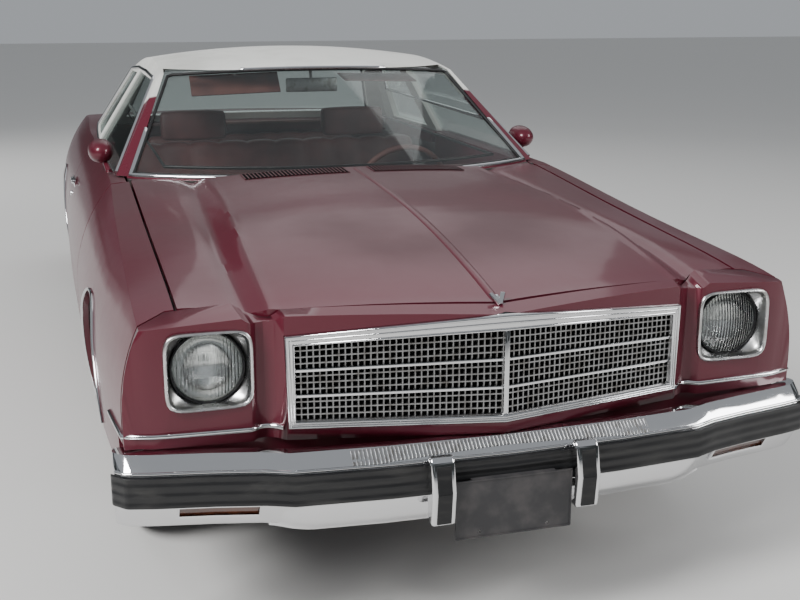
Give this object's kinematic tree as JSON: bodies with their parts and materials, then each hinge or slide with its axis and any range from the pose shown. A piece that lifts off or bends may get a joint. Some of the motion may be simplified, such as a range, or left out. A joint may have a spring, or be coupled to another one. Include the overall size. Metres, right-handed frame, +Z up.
{
  "type": "two-door muscle car",
  "caption": "Two-door hardtop muscle car with opening doors, hood and boot lid, steered front wheels and a vinyl-covered roof.",
  "frame": {"origin": "on the ground below the middle of the car's box", "axes": "+X to the car's left, -Y to its front, +Z up"},
  "size_m": [1.9492, 5.255, 1.3679],
  "materials": {
    "paint": "faded burgundy metallic paint",
    "vinyl_roof": "white grained vinyl covering over steel",
    "chrome": "bright chrome plate",
    "grille_metal": "dulled bright metal mesh",
    "bumper_rubber": "black moulded rubber",
    "guard_rubber": "chrome guards with rubber faces",
    "window_glass": "lightly tinted safety glass",
    "lamp_glass": "fluted sealed-beam glass",
    "amber_lens": "amber moulded lens",
    "red_lens": "red moulded lens",
    "plate": "dark grey blank plate",
    "bay_steel": "satin black sheet steel",
    "frame_steel": "black frame paint with road film",
    "exhaust_steel": "dull steel pipe",
    "engine_paint": "painted cast iron",
    "radiator_core": "black radiator core",
    "seat_vinyl": "maroon grained vinyl",
    "seat_steel": "black painted steel",
    "trim_plastic": "maroon moulded plastic",
    "tyre": "road tyre rubber",
    "wheel_steel": "silver painted steel wheel with bright trim"
  },
  "bodies": {
    "body": {"front_fenders": "paint", "quarter_panels": "paint", "nose_panel": "paint", "rocker_panels": "paint", "tail_panel": "paint", "roof": "vinyl_roof", "front_bumper": "chrome", "rear_bumper": "chrome", "grille_surround": "chrome", "lamp_bezels": "chrome", "grille_mesh": "grille_metal", "front_bumper_strip": "bumper_rubber", "rear_bumper_strip": "bumper_rubber", "front_bumper_guards": "guard_rubber", "rear_bumper_guards": "guard_rubber", "windshield": "window_glass", "rear_window": "window_glass", "quarter_glass": "window_glass", "headlamps": "lamp_glass", "parking_lamps": "amber_lens", "tail_lamps": "red_lens", "front_plate": "plate", "cowl": "bay_steel", "engine_bay": "bay_steel", "floor_pan": "bay_steel", "perimeter_frame": "frame_steel", "front_suspension": "frame_steel", "rear_axle": "frame_steel", "gearbox_propshaft": "frame_steel", "fuel_tank": "frame_steel", "exhaust": "exhaust_steel", "engine": "engine_paint", "radiator": "radiator_core", "front_bench": "seat_vinyl", "rear_bench": "seat_vinyl", "seat_frames": "seat_steel", "dashboard": "trim_plastic", "steering_column": "trim_plastic", "package_shelf": "trim_plastic"},
    "door_left": {"door_left": "paint", "door_glass_left": "window_glass", "mirror_left": "paint"},
    "door_right": {"door_right": "paint", "door_glass_right": "window_glass", "mirror_right": "paint"},
    "hood": {"hood": "paint"},
    "boot_lid": {"boot_lid": "paint"},
    "steering_wheel": {"steering_wheel": "trim_plastic"},
    "knuckle_left": {"steering_knuckle_left": "frame_steel"},
    "knuckle_right": {"steering_knuckle_right": "frame_steel"},
    "wheel_front_left": {"tyre_front_left": "tyre", "rim_front_left": "wheel_steel"},
    "wheel_front_right": {"tyre_front_right": "tyre", "rim_front_right": "wheel_steel"},
    "wheel_rear_left": {"tyre_rear_left": "tyre", "rim_rear_left": "wheel_steel"},
    "wheel_rear_right": {"tyre_rear_right": "tyre", "rim_rear_right": "wheel_steel"}
  },
  "joints": [
    {"name": "door_left_hinge", "type": "hinge", "parent": "body", "child": "door_left", "pos_m": [0.97, -0.901, 0.6], "axis": [0, 0, -1], "range_deg": [0, 65]},
    {"name": "door_right_hinge", "type": "hinge", "parent": "body", "child": "door_right", "pos_m": [-0.97, -0.901, 0.6], "axis": [0, 0, 1], "range_deg": [0, 65]},
    {"name": "hood_hinge", "type": "hinge", "parent": "body", "child": "hood", "pos_m": [0, -0.872, 0.9446], "axis": [-1, 0, 0], "range_deg": [0, 50]},
    {"name": "boot_hinge", "type": "hinge", "parent": "body", "child": "boot_lid", "pos_m": [0, 1.289, 0.951], "axis": [1, 0, 0], "range_deg": [0, 65]},
    {"name": "steer_left", "type": "hinge", "parent": "body", "child": "knuckle_left", "pos_m": [0.745, -1.57, 0.345], "axis": [0, 0, 1], "range_deg": [-33, 33]},
    {"name": "steer_right", "type": "hinge", "parent": "body", "child": "knuckle_right", "pos_m": [-0.745, -1.57, 0.345], "axis": [0, 0, 1], "range_deg": [-33, 33]},
    {"name": "steering_wheel_turn", "type": "hinge", "parent": "body", "child": "steering_wheel", "pos_m": [0.38, -0.4, 0.8], "axis": [0, 0.9415, 0.337], "range_deg": [-530, 530]},
    {"name": "spin_front_left", "type": "hinge", "parent": "knuckle_left", "child": "wheel_front_left", "pos_m": [0.781, -1.57, 0.345], "axis": [1, 0, 0], "continuous": true},
    {"name": "spin_rear_left", "type": "hinge", "parent": "body", "child": "wheel_rear_left", "pos_m": [0.771, 1.275, 0.345], "axis": [1, 0, 0], "continuous": true},
    {"name": "spin_front_right", "type": "hinge", "parent": "knuckle_right", "child": "wheel_front_right", "pos_m": [-0.781, -1.57, 0.345], "axis": [1, 0, 0], "continuous": true},
    {"name": "spin_rear_right", "type": "hinge", "parent": "body", "child": "wheel_rear_right", "pos_m": [-0.771, 1.275, 0.345], "axis": [1, 0, 0], "continuous": true}
  ],
  "couplings": [
    {"joint": "steer_right", "follows": "steer_left", "ratio": 1},
    {"joint": "steering_wheel_turn", "follows": "steer_left", "ratio": 16}
  ]
}
